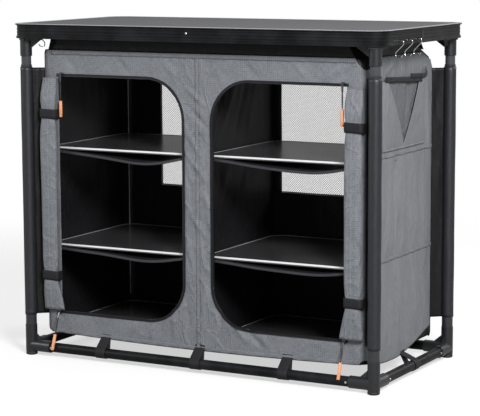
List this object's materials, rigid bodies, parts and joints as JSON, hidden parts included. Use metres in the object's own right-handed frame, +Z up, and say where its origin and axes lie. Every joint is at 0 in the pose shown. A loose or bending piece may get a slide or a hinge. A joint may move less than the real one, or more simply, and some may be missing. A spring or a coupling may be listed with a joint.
{
  "type": "camping cupboard",
  "caption": "Camping kitchen cupboard: a rimmed tabletop on a plug-together tube frame over a hanging fabric body with rolled-up zip doors, shelves and a mesh window.",
  "frame": {"origin": "middle of the footprint, on the ground under the feet", "axes": "+X to the right along the long side, -Y towards the doors, +Z up"},
  "size_m": [1.0428, 0.52, 0.85],
  "materials": {
    "top_laminate": "dark grey laminate on board, satin",
    "rim_coat": "black powder coat on aluminium, satin",
    "tube_coat": "black powder coat on steel tube, satin",
    "insert_coat": "dark grey coat on steel tube, satin",
    "black_moulding": "moulded nylon, fine matt",
    "foot_rubber": "matt black rubber",
    "rivet_metal": "bright rivet",
    "grey_cloth": "grey ripstop polyester, coated",
    "black_cloth": "black polyester",
    "net": "pale knitted net",
    "webbing": "black polyester webbing",
    "zip_tape": "black zip tape with a moulded coil",
    "shelf_laminate": "black laminate on board, satin",
    "zip_metal": "dark plated zip slider",
    "orange_grip": "orange soft plastic tube on a black cord",
    "steel_wire": "bright plated wire"
  },
  "bodies": {
    "base": {"feet": "foot_rubber", "rail_rivets": "rivet_metal", "front_panel": "grey_cloth", "back_panel": "black_cloth", "back_mesh": "net", "left_panel": "grey_cloth", "right_panel": "grey_cloth", "floor_panel": "black_cloth", "centre_divider": "black_cloth", "top_band": "black_cloth", "door_straps": "webbing", "leg_sleeves": "black_cloth", "rail_straps": "webbing", "zip_tapes": "zip_tape", "side_pocket": "grey_cloth", "corner_connector_front_left": "black_moulding", "corner_connector_front_right": "black_moulding", "corner_connector_back_left": "black_moulding", "corner_connector_back_right": "black_moulding", "bottom_rail_front": "tube_coat", "bottom_rail_back": "tube_coat", "bottom_rail_left": "tube_coat", "bottom_rail_right": "tube_coat", "shelf_sling_middle": "black_cloth", "shelf_sling_upper": "black_cloth", "rolled_door_left": "grey_cloth", "rolled_door_right": "grey_cloth"},
    "legs": {"leg_tube_front_left": "tube_coat", "leg_tube_front_right": "tube_coat", "leg_tube_back_left": "tube_coat", "leg_tube_back_right": "tube_coat"},
    "top": {"tabletop_panel": "top_laminate", "tabletop_rim": "rim_coat", "rim_joint_insert": "black_moulding", "rim_rivets": "rivet_metal", "cross_brace": "tube_coat", "leg_insert_tubes": "insert_coat", "top_socket_front_left": "black_moulding", "top_socket_front_right": "black_moulding", "top_socket_back_left": "black_moulding", "top_socket_back_right": "black_moulding"},
    "board_left_lower": {"shelf_board_left_lower": "shelf_laminate"},
    "board_right_lower": {"shelf_board_right_lower": "shelf_laminate"},
    "board_left_middle": {"shelf_board_left_middle": "shelf_laminate"},
    "board_right_middle": {"shelf_board_right_middle": "shelf_laminate"},
    "board_left_upper": {"shelf_board_left_upper": "shelf_laminate"},
    "board_right_upper": {"shelf_board_right_upper": "shelf_laminate"},
    "slider_left_top": {"zip_slider_left_top": "zip_metal"},
    "pull_left_top": {"zip_pull_left_top": "orange_grip"},
    "slider_right_top": {"zip_slider_right_top": "zip_metal"},
    "pull_right_top": {"zip_pull_right_top": "orange_grip"},
    "slider_left_bottom": {"zip_slider_left_bottom": "zip_metal"},
    "pull_left_bottom": {"zip_pull_left_bottom": "orange_grip"},
    "slider_right_bottom": {"zip_slider_right_bottom": "zip_metal"},
    "pull_right_bottom": {"zip_pull_right_bottom": "orange_grip"},
    "hook_right_front": {"s_hook_right_front": "steel_wire"},
    "hook_right_middle": {"s_hook_right_middle": "steel_wire"},
    "hook_right_back": {"s_hook_right_back": "steel_wire"},
    "hook_left_front": {"s_hook_left_front": "steel_wire"}
  },
  "joints": [
    {"name": "legs_pull_off", "type": "slide", "parent": "base", "child": "legs", "axis": [0, 0, 1], "range_m": [0, 0.05]},
    {"name": "top_lift", "type": "slide", "parent": "legs", "child": "top", "axis": [0, 0, 1], "range_m": [0, 0.09]},
    {"name": "board_lift_left_lower", "type": "slide", "parent": "base", "child": "board_left_lower", "axis": [0, 0, 1], "range_m": [0, 0.14]},
    {"name": "board_lift_right_lower", "type": "slide", "parent": "base", "child": "board_right_lower", "axis": [0, 0, 1], "range_m": [0, 0.14]},
    {"name": "board_lift_left_middle", "type": "slide", "parent": "base", "child": "board_left_middle", "axis": [0, 0, 1], "range_m": [0, 0.14]},
    {"name": "board_lift_right_middle", "type": "slide", "parent": "base", "child": "board_right_middle", "axis": [0, 0, 1], "range_m": [0, 0.14]},
    {"name": "board_lift_left_upper", "type": "slide", "parent": "base", "child": "board_left_upper", "axis": [0, 0, 1], "range_m": [0, 0.14]},
    {"name": "board_lift_right_upper", "type": "slide", "parent": "base", "child": "board_right_upper", "axis": [0, 0, 1], "range_m": [0, 0.14]},
    {"name": "zip_run_left_top", "type": "slide", "parent": "base", "child": "slider_left_top", "axis": [1, 0, 0], "range_m": [0, 0.24]},
    {"name": "pull_swing_left_top", "type": "hinge", "parent": "slider_left_top", "child": "pull_left_top", "pos_m": [-0.391, -0.2115, 0.7225], "axis": [-1, 0, 0], "range_deg": [0, 70]},
    {"name": "zip_run_right_top", "type": "slide", "parent": "base", "child": "slider_right_top", "axis": [-1, 0, 0], "range_m": [0, 0.24]},
    {"name": "pull_swing_right_top", "type": "hinge", "parent": "slider_right_top", "child": "pull_right_top", "pos_m": [0.391, -0.2115, 0.7225], "axis": [-1, 0, 0], "range_deg": [0, 70]},
    {"name": "zip_run_left_bottom", "type": "slide", "parent": "base", "child": "slider_left_bottom", "axis": [1, 0, 0], "range_m": [0, 0.24]},
    {"name": "pull_swing_left_bottom", "type": "hinge", "parent": "slider_left_bottom", "child": "pull_left_bottom", "pos_m": [-0.406, -0.2115, 0.1135], "axis": [-1, 0, 0], "range_deg": [0, 55]},
    {"name": "zip_run_right_bottom", "type": "slide", "parent": "base", "child": "slider_right_bottom", "axis": [-1, 0, 0], "range_m": [0, 0.24]},
    {"name": "pull_swing_right_bottom", "type": "hinge", "parent": "slider_right_bottom", "child": "pull_right_bottom", "pos_m": [0.396, -0.2115, 0.1135], "axis": [-1, 0, 0], "range_deg": [0, 55]},
    {"name": "hook_swing_right_front", "type": "hinge", "parent": "top", "child": "hook_right_front", "pos_m": [0.5085, -0.156, 0.8216], "axis": [0, -1, 0], "range_deg": [0, 30]},
    {"name": "hook_swing_right_middle", "type": "hinge", "parent": "top", "child": "hook_right_middle", "pos_m": [0.5085, -0.103, 0.8216], "axis": [0, -1, 0], "range_deg": [0, 30]},
    {"name": "hook_swing_right_back", "type": "hinge", "parent": "top", "child": "hook_right_back", "pos_m": [0.5085, -0.049, 0.8216], "axis": [0, -1, 0], "range_deg": [0, 30]},
    {"name": "hook_swing_left_front", "type": "hinge", "parent": "top", "child": "hook_left_front", "pos_m": [-0.5085, -0.116, 0.8216], "axis": [0, 1, 0], "range_deg": [0, 30]}
  ]
}
